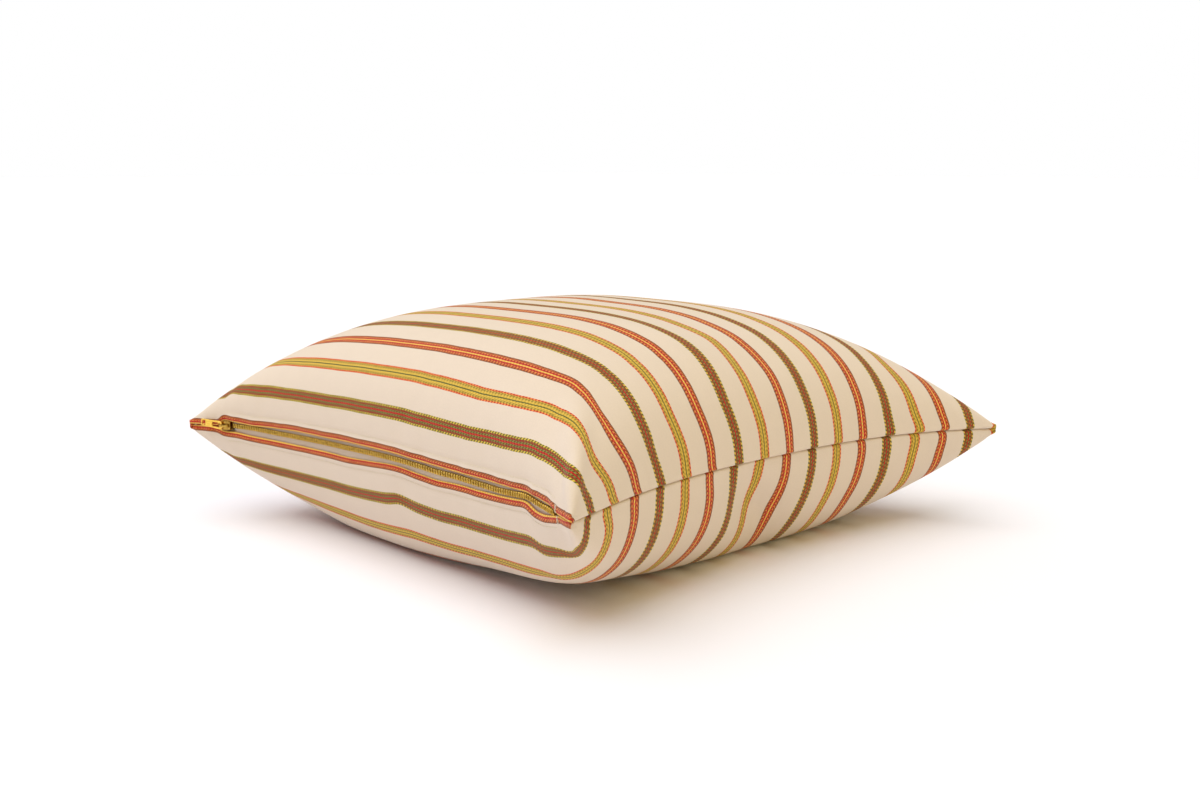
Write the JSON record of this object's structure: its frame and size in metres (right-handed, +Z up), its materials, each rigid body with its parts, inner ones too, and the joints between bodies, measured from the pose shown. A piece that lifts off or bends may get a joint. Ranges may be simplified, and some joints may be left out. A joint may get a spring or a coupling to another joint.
{
  "type": "cushion cover",
  "caption": "Square cushion cover of striped cloth, filled and lying on its back, with a brass zip in one edge.",
  "frame": {"origin": "on the surface that the cushion lies on, under the middle of its outline", "axes": "+Z up through the thickness, +X along the zip edge from the slider to the closed end, the zip in the -Y edge"},
  "size_m": [0.428, 0.4236, 0.1602],
  "materials": {
    "striped_cloth": "smooth woven cotton, cream ground with narrow woven stripes in red, ochre yellow and olive brown",
    "zip_tape": "woven zip tape, beige grey",
    "teeth_brass": "antique brass teeth",
    "slider_brass": "polished brass slider and pull"
  },
  "bodies": {
    "root": {"cushion": "striped_cloth", "zip_tape_upper": "zip_tape", "zip_tape_lower": "zip_tape", "zip_teeth_upper": "teeth_brass", "zip_teeth_lower": "teeth_brass", "zip_slider": "slider_brass", "zip_pull": "slider_brass"}
  },
  "joints": []
}
